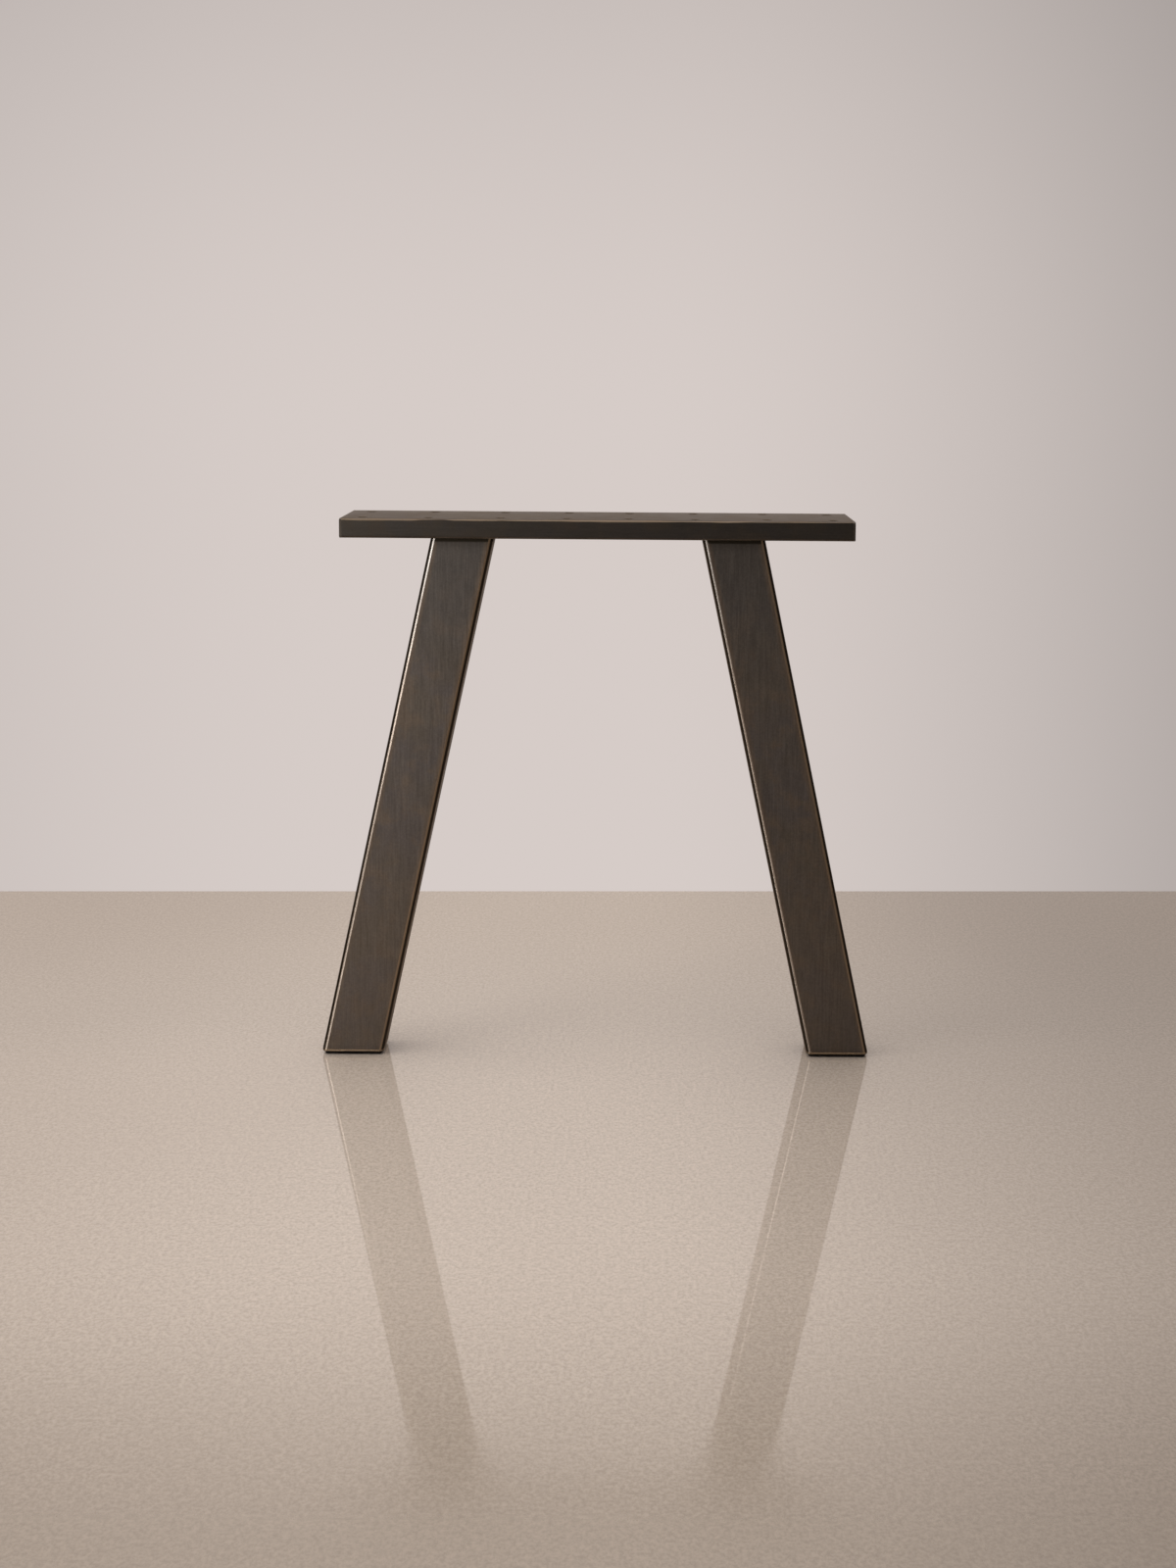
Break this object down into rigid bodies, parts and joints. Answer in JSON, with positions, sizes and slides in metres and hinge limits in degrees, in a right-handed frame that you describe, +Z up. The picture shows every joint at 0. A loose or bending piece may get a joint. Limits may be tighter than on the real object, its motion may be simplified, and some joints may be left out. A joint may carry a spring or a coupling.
{
  "type": "trestle table leg",
  "caption": "Splayed trestle leg for a table: a flat drilled steel rail carried on leaning rectangular tubes with padded feet, in a dark bronze brushed finish.",
  "frame": {"origin": "on the floor, midway between the feet", "axes": "+X along the rail, +Y across it, +Z up"},
  "size_m": [0.726, 0.12, 0.72],
  "materials": {
    "bronzed_steel": "dark bronze patina on brushed steel, satin, burnished along the edges",
    "pad_rubber": "matt black"
  },
  "bodies": {
    "root": {"top_rail": "bronzed_steel", "left_end_plate": "bronzed_steel", "right_end_plate": "bronzed_steel", "left_leg": "bronzed_steel", "right_leg": "bronzed_steel", "left_base_plate": "bronzed_steel", "right_base_plate": "bronzed_steel", "left_foot_pad": "pad_rubber", "right_foot_pad": "pad_rubber"}
  },
  "joints": []
}
